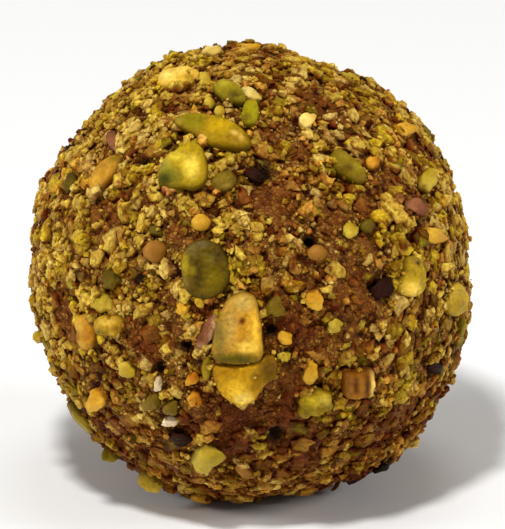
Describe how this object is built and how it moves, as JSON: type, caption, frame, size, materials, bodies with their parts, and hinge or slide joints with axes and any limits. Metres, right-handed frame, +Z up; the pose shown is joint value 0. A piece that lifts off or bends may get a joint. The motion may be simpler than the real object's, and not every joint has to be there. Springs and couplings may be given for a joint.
{
  "type": "protein ball",
  "caption": "Bite-sized ball of sticky date and nut paste, rolled in chopped pistachios, resting on a small flat spot.",
  "frame": {"origin": "centre of the small flat spot that the ball rests on", "axes": "+Z up, away from the resting spot; -Y towards the best side, which looks a little upwards; +X to the viewer's right"},
  "size_m": [0.0401, 0.0414, 0.0404],
  "materials": {
    "pistachio_coat": "chopped green and golden pistachios on sticky plum-brown date paste, slightly glossy"
  },
  "bodies": {
    "root": {"protein_ball": "pistachio_coat"}
  },
  "joints": []
}
